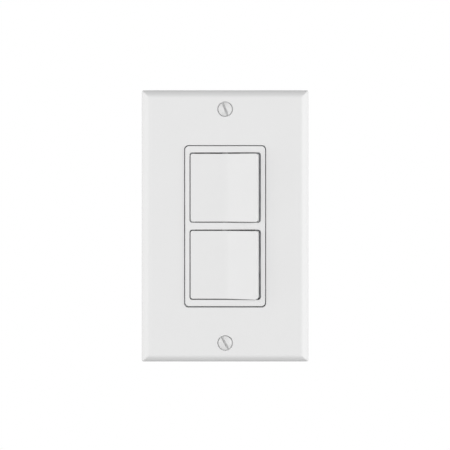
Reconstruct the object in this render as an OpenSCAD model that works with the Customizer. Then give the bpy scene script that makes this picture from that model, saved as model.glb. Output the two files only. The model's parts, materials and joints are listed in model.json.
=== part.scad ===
// Combination rocker switch: two single-pole rockers, one above the other, that tip
// left and right in one decorator frame, on a steel strap behind a wall plate.
// X runs right, Y runs into the wall and Z runs up. The wall's surface is at Y = 0.

/* [Wall plate] */
// Width of the wall plate
plate_w = 69.85; // [69.5:0.05:72]
// Height of the wall plate
plate_h = 113.6; // [113:0.1:118]
// Depth of the wall plate, from the wall to its face
plate_d = 5.6; // [5.5:0.05:5.8]
// Thickness of the plate's moulded wall
plate_wall = 2.2; // [2:0.05:2.3]
// Width of the rolled edge, seen from the front
roll_w = 3.1; // [2.6:0.1:3.3]
// Slope of the rolled edge where it leaves the face, in degrees
shoulder_angle = 30; // [20:1:36]
// Slope of the rolled edge at its outer end, in degrees
edge_angle = 68; // [60:1:72]
// Gap between the bezel and the plate's opening, on each side
opening_gap = 0.38; // [0.2:0.01:0.4]
// Gap between the bezel and the plate's opening, above and below on average
opening_gap_h = 0.46; // [0.3:0.01:0.5]
// How far the plate hangs below the middle of the device
plate_drop = 0.12; // [0:0.01:0.2]

/* [Bezel and rockers] */
// Width of the bezel
bezel_w = 33.04; // [33:0.01:33.4]
// Height of the bezel
bezel_h = 66.19; // [66.1:0.01:66.5]
// How far the bezel stands proud of the plate's face
bezel_proud = 0.7; // [0.4:0.1:1]
// Distance between the two rockers' middles
rocker_pitch = 31.9; // [31.8:0.05:32]
// Height of a rocker
rocker_h = 28.09; // [27.8:0.01:28.2]
// Width of a rocker at the bezel's face
rocker_w = 28.42; // [27.8:0.01:28.5]
// Gap around a rocker
rocker_gap = 0.41; // [0.3:0.01:0.42]
// How far the upper rocker rests below the middle of its window, within its end play
upper_drop = 0.08; // [0:0.01:0.1]
// How far the lower rocker rests below the middle of its window
lower_drop = 0.01; // [0:0.01:0.1]
// Distance from the pivot to the fold in the middle of the rocker's face
crease = 5; // [4.8:0.1:5.2]
// Angle through which a rocker tips, in degrees
swing = 11; // [10:0.5:11]
// How far in front of the pivot the rounded ends of a rocker are centred
end_lead = 1.5; // [0:0.1:1.5]

/* [Strap] */
// Distance between the two box screws, the standard of wall boxes
box_screw_pitch = 83.34; // [83:0.01:83.6]
// Distance between the two plate screws, the standard of decorator plates
plate_screw_pitch = 96.84; // [96.6:0.01:97]
// Length of the strap
strap_l = 106.4; // [105:0.1:107]
// Thickness of the strap's steel
strap_t = 1.3; // [1.2:0.05:1.3]

/* [Housing] */
// Width of the rear housing
housing_w = 32.4; // [32.2:0.1:32.8]
// Depth of the rear housing's back, behind the wall's surface
housing_back = 22.5; // [22:0.1:25]
// Length of a box screw, behind the wall's surface
box_screw_reach = 19; // [12:0.5:25]

/* [Contacts] */
// Angle through which a contact arm tips, in degrees
arm_swing = 13.2; // [13.2:0.1:13.2]
// Turns in a rocker's spring
spring_turns = 6; // [5:1:6]

/* [Hidden] */
$fn = 64;
eps = 0.5; // overshoot of a cut past the face it opens

white = [0.93, 0.93, 0.93];
steel = [0.72, 0.73, 0.75];
brass = [0.80, 0.62, 0.28];
silver = [0.85, 0.85, 0.83];

// Depths of the main layers
bezel_face = -plate_d - bezel_proud;
strap_back = -0.1;
strap_front = strap_back - strap_t;
retainer_back = 0.35;
pivot_y = strap_front;
rib_back = 1.3; // back of the bezel's bearing blocks
housing_floor = housing_back - 1.8;

// Wall plate
plate_rim = 2;
plate_corner = 0.8;
roll_r = roll_w / (sin(edge_angle) - sin(shoulder_angle));
cavity_front = -plate_d + plate_wall;
opening_w = bezel_w + 2 * opening_gap;
opening_h = bezel_h + 2 * opening_gap_h;
opening_corner = 1.7;
collar = 1.3;
rib_t = 1;

// Plate screws, 6-32 with an oval head
screw_632_r = 1.75;
screw_632_neck = 1.4;
oval_head_r = 2.83;
oval_rim = 0.4; // height of the head's straight rim, below the plate's face
oval_head_sink = 1.5; // depth of the head's cone below the plate's face
oval_head_rise = 0.8; // height of the head's dome above the plate's face
oval_dome_r = (pow(oval_head_r, 2) + pow(oval_head_rise, 2)) / (2 * oval_head_rise);
countersink_r = 3.2;
countersink_rim = 0.5; // depth at which the countersink's cone starts
countersink_d = 1.38;
slot_w = 1.1;
oval_slot_w = 0.95;
oval_slot_d = 1.4;
plate_screw_turns = [21, 29]; // how far each screw's slot leans from upright

// Rocker: a folded face with rounded ends, which pass the window's walls as it tips
rocker_z = rocker_pitch / 2;
half_swing = swing / 2;
fold = tan(half_swing);
rocker_r = sqrt(pow(rocker_w / 2, 2) + pow(crease * cos(half_swing), 2));
window_r = rocker_r + rocker_gap;
// Corner between a rocker's face and its end, as a distance from the fold's middle line
corner_x = (sqrt(pow(rocker_r, 2) * (1 + fold * fold) - crease * crease) - crease * fold)
  / (1 + fold * fold);
corner_y = -crease - corner_x * fold;
end_r = sqrt(pow(corner_x, 2) + pow(corner_y + end_lead, 2));
window_h = rocker_h + 0.9;
rocker_wall = 1.5;
skirt = 1.8; // distance from the pivot to the rocker's back edge
trunnion_r = 1.3;
trunnion_reach = 1.35;
trunnion_seat = 1.53; // depth of the bearing slot past the rocker's end
bearing_gap = 0.05;
ear_r = 2.6;
post_r = 3.2;
post_back = 5; // distance from the pivot to the post's back end
bore_r = 1.95;
bore_front = -2.4;

// Plunger and spring, measured back from the pivot
plunger_r = 1.85;
plunger_front = 2;
plunger_tip = 8;
tip_r = 1.2;
spring_r = 1.55;
wire_r = 0.2;

// Contact arm: a see-saw blade on the rounded edge of the feed terminal's riser
arm_y = 7.48;
arm_half = arm_swing / 2;
arm_t = 0.8;
arm_w = 5;
arm_left = 9.4;
arm_right = 7;
edge_r = 0.45;
groove_r = 0.5;
contact_x = 8;
contact_t = 0.7;

// Terminals and their screws, 8-32
sheet = 0.9;
pocket_x = 13.5; // floor of the housing's side pockets
pocket_front = 8.2;
pocket_back = 20;
load_shelf = 9.8;
feed_shelf = 11.6;
terminal_back = 19.4;
terminal_half = 4.4;
screw_832_r = 2.08;
terminal_head_r = 3.9;
terminal_head_t = 1.9;
terminal_screw_y = 15.3;
wire_gap = 1.9; // room for a wire under a screw's head
screw_fit = 0.05;

// Housing
cavity_x = 11.9;
cavity_end = 30.4;
partition = 1.6;
housing_h = 66;
housing_screw_x = 14.6;
housing_screw_z = 31.6;
housing_screw_r = 0.8;

// Strap
strap_w = 35; // covers what lies behind the gap round the bezel
strap_mid_l = 69;
strap_end_w = 19;
window_half_w = 12.6;
window_half_h = 30.3;
bearing_w = 12;
ground_z = -39.5;
ground_y = 6;
ground_tab_x = -15.6;

// Outlines ------------------------------------------------------------------

module rounded(w, h, r) {
  square([w - 2 * r, h], center = true);
  square([w, h - 2 * r], center = true);
  for (x = [-1, 1], z = [-1, 1]) translate([x * (w / 2 - r), z * (h / 2 - r)]) circle(r);
}

// Extrudes an outline drawn in X and Z, from one depth to another
module slab(y0, y1) {
  translate([0, y1, 0]) rotate([90, 0, 0]) linear_extrude(y1 - y0) children();
}

module block(x0, x1, y0, y1, z0, z1) {
  translate([x0, y0, z0]) cube([x1 - x0, y1 - y0, z1 - z0]);
}

// A round bar or cone along Y, from one depth to another
module rod(r0, y0, y1, r1 = 0) {
  translate([0, y0, 0]) rotate([-90, 0, 0])
    cylinder(r1 = r0, r2 = r1 > 0 ? r1 : r0, h = y1 - y0);
}

// A round bar along X
module bar_x(r, x0, x1) {
  translate([x0, 0, 0]) rotate([0, 90, 0]) cylinder(r = r, h = x1 - x0);
}

module at_rocker(side) {
  translate([0, pivot_y, side * rocker_z]) children();
}

// A rocker and what rides in it, tipped so that its left half lies flush
module tipped(side) {
  translate([0, 0, side > 0 ? -upper_drop : -lower_drop]) at_rocker(side)
    rotate([0, 0, -half_swing]) children();
}

module at_arm(side) {
  translate([0, arm_y, side * rocker_z]) rotate([0, 0, arm_half]) children();
}

// Wall plate ----------------------------------------------------------------

// A section of the plate: flat in the middle, with both edges rolled back
module rolled_section(w) {
  flat = w / 2 - roll_w;
  translate([-flat, -plate_d]) square([2 * flat, plate_d]);
  for (s = [0, 1]) mirror([s, 0]) translate([flat, -plate_d]) intersection() {
    translate([-roll_r * sin(shoulder_angle), roll_r * cos(shoulder_angle)]) circle(roll_r, $fn = 128);
    square([roll_w, plate_d]);
  }
}

module plate_blank() {
  intersection() {
    linear_extrude(plate_h, center = true) rolled_section(plate_w);
    rotate([0, -90, 0]) linear_extrude(plate_w, center = true) rolled_section(plate_h);
    slab(-plate_d, 0) rounded(plate_w, plate_h, plate_corner);
  }
}

module plate_screw_places() {
  for (s = [-1, 1]) translate([0, 0, s * plate_screw_pitch / 2]) children();
}

module wall_plate() {
  color(white) difference() {
    translate([0, 0, -plate_drop]) difference() {
      plate_blank();
      difference() {
        slab(cavity_front, eps) rounded(plate_w - 2 * plate_rim, plate_h - 2 * plate_rim, 1.2);
        slab(cavity_front - eps, -1.7)
          rounded(opening_w + 2 * collar, opening_h + 2 * collar, opening_corner + collar);
        for (x = [-1, 1], z = [-45, -24, 0, 24, 45])
          block(x * 25.5 - 8.5, x * 25.5 + 8.5, cavity_front - eps, -1.9, z - rib_t / 2, z + rib_t / 2);
        for (s = [-1, 1]) translate([0, 0, s * plate_screw_pitch / 2]) rod(2.9, cavity_front - eps, -1.5);
      }
      slab(-plate_d - eps, eps) rounded(opening_w, opening_h, opening_corner);
    }
    plate_screw_places() {
      rod(2, -plate_d - eps, eps);
      rod(countersink_r, -plate_d + countersink_rim, -plate_d + countersink_d, 2);
      rod(countersink_r, -plate_d - eps, -plate_d + countersink_rim);
    }
  }
}

module plate_screw(turn) {
  rotate([0, -turn, 0]) difference() {
    union() {
      rod(oval_head_r, -plate_d, -plate_d + oval_rim);
      rod(oval_head_r, -plate_d + oval_rim, -plate_d + oval_head_sink, screw_632_r);
      intersection() {
        rod(oval_head_r, -plate_d - 2, -plate_d);
        translate([0, -plate_d - oval_head_rise + oval_dome_r, 0]) sphere(oval_dome_r, $fn = 96);
      }
      rod(screw_632_r, -plate_d + oval_head_sink, 6.4);
      rod(screw_632_r, 6.4, 7.2, 1);
    }
    block(-oval_slot_w / 2, oval_slot_w / 2, -plate_d - 2, -plate_d - oval_head_rise + oval_slot_d, -4, 4);
  }
}

module plate_screws() {
  color(white) for (i = [0, 1])
    translate([0, 0, (1 - 2 * i) * plate_screw_pitch / 2]) plate_screw(plate_screw_turns[i]);
}

// Strap and what fastens it -------------------------------------------------

module strap_outline() {
  rounded(strap_w, strap_mid_l, 1.5);
  rounded(strap_end_w, strap_l, 2);
  for (x = [-1, 1], z = [-1, 1]) translate([x * 12.9, z * 49.4]) {
    circle(3.5);
    translate([-x * 3.5, 0]) square([3, 2.6], center = true);
  }
  translate([ground_tab_x, ground_z - 4]) square([8, 8]);
}

module strap_holes() {
  square([2 * window_half_w, 2 * window_half_h], center = true);
  square([bearing_w + 0.4, bezel_h + 0.3], center = true);
  for (s = [-1, 1]) {
    translate([0, s * plate_screw_pitch / 2]) circle(screw_632_r + screw_fit);
    translate([0, s * box_screw_pitch / 2]) {
      square([4, 4.4], center = true);
      for (x = [-2, 2]) translate([x, 0]) circle(2.2);
    }
    for (x = [-1, 1]) translate([x * housing_screw_x, s * housing_screw_z])
      circle(housing_screw_r + 0.15);
  }
}

module mounting_strap() {
  color(steel) {
    difference() {
      slab(strap_front, strap_back) strap_outline();
      slab(strap_front - eps, strap_back + eps) strap_holes();
    }
    // Drawn collars that give the plate screws enough thread
    for (s = [-1, 1]) translate([0, 0, s * plate_screw_pitch / 2]) difference() {
      rod(2.8, strap_back, 1);
      rod(screw_632_r + screw_fit, strap_back - eps, 1 + eps);
    }
    // Earth tab, bent back beside the housing
    difference() {
      block(ground_tab_x, ground_tab_x + strap_t, strap_back, 11, ground_z - 4, ground_z + 4);
      translate([0, ground_y, ground_z]) bar_x(2.4, ground_tab_x - eps, ground_tab_x + strap_t + eps);
    }
  }
}

module mounting_screws() {
  color(steel) for (s = [-1, 1])
    translate([0, 0, s * box_screw_pitch / 2]) rotate([0, s * 34, 0]) {
      difference() {
        intersection() {
          rod(3.7, strap_front - 1.7, strap_front);
          translate([0, strap_front - 1.7 + 5.5, 0]) sphere(5.5, $fn = 96);
        }
        block(-slot_w / 2, slot_w / 2, strap_front - 2, strap_front - 0.8, -4, 4);
      }
      rod(screw_632_neck, strap_front, retainer_back);
      rod(screw_632_r, retainer_back, box_screw_reach - 1);
      rod(screw_632_r, box_screw_reach - 1, box_screw_reach, 1);
    }
}

module screw_retainers() {
  color([0.55, 0.42, 0.30]) for (s = [-1, 1])
    translate([0, 0, s * box_screw_pitch / 2]) slab(strap_back, retainer_back) difference() {
      rounded(9.5, 7.2, 1);
      circle(screw_632_neck + screw_fit);
    }
}

module ground_screw() {
  color([0.15, 0.45, 0.22]) translate([0, ground_y, ground_z]) {
    difference() {
      union() {
        bar_x(3.9, ground_tab_x - 0.8, ground_tab_x - 0.2);
        translate([ground_tab_x - 2.6, 0, 0]) rotate([0, 90, 0]) cylinder(r = 3.6, h = 1.8, $fn = 6);
      }
      block(ground_tab_x - 3, ground_tab_x - 1.7, -slot_w / 2, slot_w / 2, -4, 4);
    }
    bar_x(2.35, ground_tab_x - 0.2, -9.5);
  }
}

// Bezel and housing ---------------------------------------------------------

// Space in front of the strap that a rocker sweeps, with its gap
module rocker_window(side) {
  translate([0, pivot_y, side * rocker_z]) cylinder(r = window_r, h = window_h, center = true);
}

module bearing_slot(side) {
  translate([0, pivot_y, side * rocker_z]) {
    cylinder(r = trunnion_r + bearing_gap, h = rocker_h + 2 * trunnion_seat, center = true);
    r = trunnion_r + bearing_gap;
    block(-r, r, 0, 4, -rocker_h / 2 - trunnion_seat, rocker_h / 2 + trunnion_seat);
  }
}

module bezel() {
  color(white) difference() {
    union() {
      slab(bezel_face, strap_front) rounded(bezel_w, bezel_h, 1.6);
      slab(strap_front, rib_back) square([bearing_w, bezel_h - 0.1], center = true);
    }
    for (side = [-1, 1]) {
      rocker_window(side);
      bearing_slot(side);
      block(-bearing_w, bearing_w, strap_front, rib_back + eps,
        side * rocker_z - window_h / 2, side * rocker_z + window_h / 2);
    }
    housing_screw_places() rod(housing_screw_r + screw_fit, strap_front - 3.3, 0);
  }
}

module housing_screw_places() {
  for (x = [-1, 1], z = [-1, 1])
    translate([x * housing_screw_x, 0, z * housing_screw_z]) children();
}

module terminal_pockets() {
  for (side = [-1, 1]) {
    z = side * rocker_z;
    block(-housing_w, -pocket_x, pocket_front, pocket_back, z - 5.2, z + 5.2);
    // Slits for the terminals' shelves and room for the screws' ends
    block(-pocket_x - eps, -cavity_x + eps, load_shelf - 0.1, load_shelf + sheet + 0.1, z - 3.1, z + 3.1);
    block(cavity_x - eps, pocket_x + eps, feed_shelf - 0.1, feed_shelf + sheet + 0.1, z - 3.1, z + 3.1);
    translate([0, terminal_screw_y, z]) bar_x(screw_832_r + 0.3, -pocket_x - eps, -cavity_x + eps);
    translate([0, terminal_screw_y, z]) bar_x(screw_832_r + 0.3, cavity_x - eps, pocket_x + eps);
  }
  block(pocket_x, housing_w, pocket_front, pocket_back, -rocker_z - 5.2, rocker_z + 5.2);
}

module rear_housing() {
  color([0.16, 0.17, 0.19]) difference() {
    slab(strap_back, housing_back) rounded(housing_w, housing_h, 1.5);
    for (s = [0, 1]) mirror([0, 0, s])
      block(-cavity_x, cavity_x, strap_back - eps, housing_floor, partition / 2, cavity_end);
    // Room for the bezel's bearing blocks
    block(-bearing_w / 2 - 0.3, bearing_w / 2 + 0.3, strap_back - eps, rib_back + 0.2, -housing_h, housing_h);
    terminal_pockets();
    housing_screw_places() rod(housing_screw_r + 0.1, strap_back - eps, housing_back + eps);
  }
}

module housing_screws() {
  color(steel) housing_screw_places() {
    rod(housing_screw_r, strap_front - 3, housing_back);
    intersection() {
      rod(1.35, housing_back, housing_back + 0.8);
      translate([0, housing_back + 0.8 - 1.8, 0]) sphere(1.8);
    }
  }
}

// Terminals -----------------------------------------------------------------

module load_terminal(side) {
  color(brass) translate([0, 0, side * rocker_z]) difference() {
    union() {
      block(-pocket_x - sheet, -pocket_x, load_shelf, terminal_back, -terminal_half, terminal_half);
      block(-pocket_x - sheet, -5.6, load_shelf, load_shelf + sheet, -3, 3);
    }
    translate([0, terminal_screw_y, 0]) bar_x(screw_832_r + screw_fit, -pocket_x - 2, -pocket_x + 1);
    translate([-contact_x + 0.1, 0, 0]) rod(0.85, load_shelf - eps, load_shelf + sheet + eps);
  }
}

module upper_load_terminal() { load_terminal(1); }

module lower_load_terminal() { load_terminal(-1); }

// Silver rivets that the arms' contacts close on
module fixed_contacts() {
  top = 9.13;
  dome_r = 4;
  color(silver) for (side = [-1, 1])
    translate([-contact_x + 0.1, 0, side * rocker_z]) {
      intersection() {
        rod(1.7, top, load_shelf);
        translate([0, top + dome_r, 0]) sphere(dome_r);
      }
      rod(0.8, load_shelf, load_shelf + sheet);
      rod(1.1, load_shelf + sheet, load_shelf + sheet + 0.3);
    }
}

// One brass piece that feeds both switches, with a link that is snapped off to part them
module feed_terminal() {
  color(brass) difference() {
    union() {
      for (side = [-1, 1]) translate([0, 0, side * rocker_z]) {
        block(pocket_x, pocket_x + sheet, feed_shelf, terminal_back, -terminal_half, terminal_half);
        block(-edge_r, pocket_x + sheet, feed_shelf, feed_shelf + sheet, -3, 3);
        block(-edge_r, edge_r, arm_y, feed_shelf + sheet, -3.4, 3.4);
        translate([0, arm_y, 0]) cylinder(r = edge_r, h = 6.8, center = true);
        for (z = [-1, 1])
          block(-edge_r, edge_r, 6.2, arm_y, z * 3.025 - 0.375, z * 3.025 + 0.375);
      }
      block(pocket_x, pocket_x + sheet, 13.6, 17, -rocker_z, rocker_z);
    }
    for (side = [-1, 1]) translate([0, terminal_screw_y, side * rocker_z])
      bar_x(screw_832_r + screw_fit, pocket_x - 1, pocket_x + 2);
    for (z = [-4, 4], y = [13.6, 17])
      translate([0, y, z]) bar_x(1.1, pocket_x - 1, pocket_x + 2);
  }
}

// A binding-head screw along X, backed out to take a wire, with its head outwards
module terminal_screw() {
  head = pocket_x + sheet + wire_gap;
  difference() {
    bar_x(terminal_head_r, head, head + terminal_head_t);
    block(head + terminal_head_t - 0.9, head + terminal_head_t + 1, -slot_w / 2, slot_w / 2, -5, 5);
  }
  bar_x(screw_832_r, head - 8.5, head);
}

module feed_screws() {
  color([0.2, 0.2, 0.2]) for (side = [-1, 1])
    translate([0, terminal_screw_y, side * rocker_z]) rotate([side * 25, 0, 0]) terminal_screw();
}

module load_screws() {
  color(brass) for (side = [-1, 1])
    translate([0, terminal_screw_y, side * rocker_z]) rotate([side * 40, 0, 180]) terminal_screw();
}

// Rocker --------------------------------------------------------------------

// The rocker's section, square to its pivot, thinned by an inset
module paddle_section(inset, back) {
  reach = 16;
  front = crease - inset;
  intersection() {
    translate([0, -end_lead]) circle(end_r - inset, $fn = 128);
    polygon([[-reach, -front - reach * fold], [0, -front], [reach, -front - reach * fold],
      [reach, -back], [-reach, -back]]);
  }
}

module rocker(side) {
  wall_z = rocker_h / 2 - rocker_wall;
  color(white) tipped(side) difference() {
    union() {
      difference() {
        linear_extrude(rocker_h, center = true) paddle_section(0, skirt);
        linear_extrude(2 * wall_z, center = true) paddle_section(rocker_wall, skirt - 1);
      }
      for (s = [-1, 1]) translate([0, 0, s * (wall_z + rocker_wall / 2)]) {
        linear_extrude(rocker_wall, center = true) {
          circle(ear_r);
          translate([-ear_r, -skirt - 1]) square([2 * ear_r, skirt + 1]);
        }
      }
      for (s = [0, 1]) mirror([0, 0, s]) translate([0, 0, wall_z])
        cylinder(r = trunnion_r, h = rocker_wall + trunnion_reach);
      rod(post_r, -crease + 1, post_back);
      // Ribs that carry the post
      for (x = [-1, 1]) block(x * 9 - 4.5, x * 9 + 4.5, -crease + 0.1, -skirt - 0.4, -0.6, 0.6);
      for (z = [-1, 1]) block(-0.6, 0.6, -crease + 1, -skirt, z * 8 - 5.2, z * 8 + 5.2);
    }
    rod(bore_r, bore_front, post_back + eps);
  }
}

module upper_rocker() { rocker(1); }

module lower_rocker() { rocker(-1); }

module plunger(side) {
  neck = plunger_tip - 2.2;
  color([0.9, 0.88, 0.8]) tipped(side) {
    rod(1.15, 0.8, plunger_front);
    rod(plunger_r, plunger_front, neck);
    rod(plunger_r, neck, plunger_tip - tip_r, tip_r);
    translate([0, plunger_tip - tip_r, 0]) sphere(tip_r);
  }
}

module upper_plunger() { plunger(1); }

module lower_plunger() { plunger(-1); }

// A coil of round wire along Y
module coil(r, wire, y0, y1, turns) {
  steps = 14;
  sides = 6;
  n = turns * steps;
  points = [for (i = [0:n]) let (a = 360 * i / steps, y = y0 + (y1 - y0) * i / n)
    for (j = [0:sides - 1]) let (b = 360 * j / sides, q = r + wire * cos(b))
      [q * cos(a), y + wire * sin(b), q * sin(a)]];
  walls = [for (i = [0:n - 1], j = [0:sides - 1]) let (k = (j + 1) % sides)
    [i * sides + j, i * sides + k, (i + 1) * sides + k, (i + 1) * sides + j]];
  ends = [[for (j = [sides - 1:-1:0]) j], [for (j = [0:sides - 1]) n * sides + j]];
  polyhedron(points, concat(walls, ends));
}

module spring(side) {
  color(steel) tipped(side)
    coil(spring_r, wire_r, bore_front + 0.25, plunger_front - 0.25, spring_turns);
}

module upper_spring() { spring(1); }

module lower_spring() { spring(-1); }

// Contact arms --------------------------------------------------------------

module contact_arm(side) {
  color([0.78, 0.50, 0.34]) at_arm(side) difference() {
    block(-arm_left, arm_right, -arm_t - 0.05, -0.05, -arm_w / 2, arm_w / 2);
    cylinder(r = groove_r, h = arm_w + 1, center = true);
    translate([-contact_x, 0, 0]) rod(0.8, -2, 1);
  }
}

module upper_contact_arm() { contact_arm(1); }

module lower_contact_arm() { contact_arm(-1); }

module moving_contact(side) {
  color(silver) at_arm(side) translate([-contact_x, 0, 0]) {
    rod(1.6, -0.05, contact_t - 0.05);
    rod(0.75, -arm_t - 0.05, -0.05);
    rod(1.1, -arm_t - 0.3, -arm_t - 0.05);
  }
}

module upper_moving_contact() { moving_contact(1); }

module lower_moving_contact() { moving_contact(-1); }

// Nodes ---------------------------------------------------------------------

wall_plate();
plate_screws();
mounting_strap();
mounting_screws();
screw_retainers();
bezel();
rear_housing();
housing_screws();
ground_screw();
feed_terminal();
feed_screws();
upper_load_terminal();
lower_load_terminal();
load_screws();
fixed_contacts();
upper_rocker();
upper_spring();
upper_plunger();
upper_contact_arm();
upper_moving_contact();
lower_rocker();
lower_spring();
lower_plunger();
lower_contact_arm();
lower_moving_contact();
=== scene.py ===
"""The looks of a combination rocker switch: a wall plate round two rockers that tip left and right.

X runs right, Y runs into the wall and Z runs up. The wall's surface is at Y = 0. Sizes are in millimetres
here, and each finished piece is scaled to metres. The moulded front pieces are built from rings that follow
their outlines, Geometry Nodes grow what repeats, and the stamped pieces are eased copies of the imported
solids.
"""

import json
import math

import bmesh
import bpy
from mathutils import Matrix, Vector

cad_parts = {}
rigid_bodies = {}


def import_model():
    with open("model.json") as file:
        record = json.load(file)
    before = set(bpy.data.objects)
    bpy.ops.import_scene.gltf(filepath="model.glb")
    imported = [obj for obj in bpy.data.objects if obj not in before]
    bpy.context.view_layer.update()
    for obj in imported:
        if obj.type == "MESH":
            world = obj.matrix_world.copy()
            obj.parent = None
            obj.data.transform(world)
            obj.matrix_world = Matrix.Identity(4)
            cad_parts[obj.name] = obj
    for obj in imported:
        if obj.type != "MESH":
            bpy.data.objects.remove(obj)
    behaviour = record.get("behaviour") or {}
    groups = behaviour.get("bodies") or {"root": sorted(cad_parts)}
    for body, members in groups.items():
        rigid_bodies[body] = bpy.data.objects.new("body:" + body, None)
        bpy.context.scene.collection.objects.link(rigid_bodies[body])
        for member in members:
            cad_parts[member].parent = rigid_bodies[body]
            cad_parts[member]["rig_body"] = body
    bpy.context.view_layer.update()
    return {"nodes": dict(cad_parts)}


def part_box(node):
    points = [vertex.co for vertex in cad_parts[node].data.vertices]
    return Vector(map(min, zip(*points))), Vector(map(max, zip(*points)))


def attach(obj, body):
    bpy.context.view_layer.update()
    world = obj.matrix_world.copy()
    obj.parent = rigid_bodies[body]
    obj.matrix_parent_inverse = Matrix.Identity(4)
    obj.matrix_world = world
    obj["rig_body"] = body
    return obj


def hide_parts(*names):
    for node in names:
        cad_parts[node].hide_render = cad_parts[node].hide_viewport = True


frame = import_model()

MM = 0.001

# Wall plate: a flat face whose four edges roll back, over a hollow back
PLATE_LO, PLATE_HI = (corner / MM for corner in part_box("wall_plate"))
PLATE_W = PLATE_HI.x  # half the width
PLATE_H = (PLATE_HI.z - PLATE_LO.z) / 2  # half the height
PLATE_Z = (PLATE_HI.z + PLATE_LO.z) / 2
PLATE_FACE = PLATE_LO.y
ROLL_W = 3.1
ROLL_START, ROLL_END = math.radians(30), math.radians(68)
ROLL_R = ROLL_W / (math.sin(ROLL_END) - math.sin(ROLL_START))
SHOULDER_R = 2.4  # softens the line where the face turns into the rolled edge
MITRE_R, PLATE_CORNER_R = 0.3, 0.8
OPENING_W, OPENING_H, OPENING_R = 16.93, 33.6, 1.7
OPENING_LIP = 0.12
CAVITY_W, CAVITY_H, CAVITY_R, CAVITY_Y = 32.925, 54.8, 1.2, -3.4
RIM_R, CAVITY_LIP, CAVITY_FILLET = 0.25, 0.15, 0.6  # rounding at the back, chamfer and inner corner
COLLAR, COLLAR_Y = 1.3, -1.7
RIB_X, RIB_Y, RIB_THICK = (17.0, CAVITY_W + 0.2), (CAVITY_Y - 0.3, -1.9), 1.0
RIB_ZS = (-45, -24, 0, 24, 45)
BOSS_R, BOSS_TOP, BOSS_EASE = 2.9, -1.5, 0.2
PLATE_SCREW_Z = 48.42
HOLE_R, HOLE_LIP = 2, 0.05  # the plate screws' clearance holes
SINK_R, SINK_Y, SINK_RIM_Y = 3.2, 1.38, 0.5  # their countersinks, with depths from the plate's face

# Bezel and rockers
BEZEL_LO, BEZEL_HI = (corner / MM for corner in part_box("bezel"))
BEZEL_FACE, BEZEL_W, BEZEL_H, BEZEL_R = BEZEL_LO.y, BEZEL_HI.x, BEZEL_HI.z, 1.6
BEZEL_LIP = 0.2
BEARING_HALF_W, BEARING_Y, SEAT_R, SEAT_H = 6, 1.3, 1.35, 1.53  # the seats reach past the rocker's ends
HOUSING_HOLE_R, HOUSING_SCREW_XZ = 0.85, (14.6, 31.6)
SCREW_CORNERS = [(sx * HOUSING_SCREW_XZ[0], sz * HOUSING_SCREW_XZ[1]) for sx in (-1, 1) for sz in (-1, 1)]
PIVOT_Y, ROCKER_Z = -1.4, 15.95
ROCKER_DROPS = {1: 0.08, -1: 0.01}  # how far each rests below its window's middle, within its end play
WINDOW_R, WINDOW_H, WINDOW_CORNER, WINDOW_LIP = 15.466, 14.495, 1.1, 0.15
HALF_SWING = math.radians(5.5)
FOLD = math.tan(HALF_SWING)
CREASE, CREASE_HALF = 5.0, 2.4  # depth of the fold, and how far its soft curve reaches each side
END_LEAD, END_R, CORNER_X = 1.5, 14.491, 13.668
ROCKER_H, ROCKER_CORNER, ROCKER_EDGE, ROCKER_WALL = 14.045, 0.85, 0.2, 1.5
SKIRT_Y = -1.8
PIN_R, PIN_REACH, PIN_EASE, EAR_R = 1.3, 1.35, 0.15, 2.6
POST_R, POST_START, POST_END, BORE_R, BORE_START = 3.2, -4.2, 5, 1.95, -2.4
BURIED, SHY = 0.1, 0.001  # how far one solid runs into the next, or stays short of a face

ARC_STEPS = 10  # points round each corner of an outline
TURNS = 56  # sides of a turned piece
INTO_WALL = Matrix.Rotation(math.radians(-90), 4, "X")  # a turned piece's axis, from Z to Y
OUT_OF_WALL = Matrix.Rotation(math.radians(90), 4, "X")
WELD, FLAT_WELD = 0.0005, 0.002  # edges shorter than these close up
EASED_FOLD = math.radians(40)  # sharper folds than this have their edges broken
CRISP_FOLD = math.radians(34)  # and sharper ones than this stay crisp when shaded

# Screw threads: radius at the root and at the crest, and pitch
NO_6, NO_8, NO_10 = (1.33, 1.75, 0.794), (1.65, 2.08, 0.794), (1.85, 2.35, 1.058)
HOUSING_THREAD = (0.62, 0.8, 0.45)
BOX_SCREW_Z = 41.67
TERMINAL_SCREW_X, TERMINAL_SCREW_Y = 16.3, 15.3
GROUND_SCREW_AT = (-15.8, 6, -39.5)

# Studio. The surround's strengths: its even part, its sides, its lean to the right, its ends and its back
EVEN_LIGHT, SIDE_LIGHT, RIGHT_LEAN, ENDS_DIM, BACK_DIM = 0.91, 0.88, 0.08, 0.94, 0.35
DARKEST = 0.02
# Name, place across and in front in metres, and power in watts
SOFT_BOXES = [
    ("left_soft_box", -0.75, -0.45, 0.4),
    ("front_soft_box", -0.42, -0.8, 0.6),
    ("right_soft_box", 0.75, -0.45, 0.6),
]
SOFT_BOX_SIZE, SOFT_BOX_Z = (0.3, 0.9), 0.05
FLOOR_LO, FLOOR_HI = (-2500, -2500, -740), (2500, 1500, -720)
CAMERA_AT = (0, -302, 16)
CAMERA_LENS, CAMERA_SENSOR, CAMERA_SHIFT = 57.27, 36, (-0.0003, -0.0835)


# Mesh tools -------------------------------------------------------------------------------------


def new_object(name, mesh):
    made = bpy.data.objects.new(name, mesh)
    bpy.context.scene.collection.objects.link(made)
    return made


def object_from(name, bm):
    """Closes a bmesh's account: faces outwards, into a new object."""
    bmesh.ops.recalc_face_normals(bm, faces=bm.faces)
    mesh = bpy.data.meshes.new(name)
    bm.to_mesh(mesh)
    bm.free()
    return new_object(name, mesh)


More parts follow.
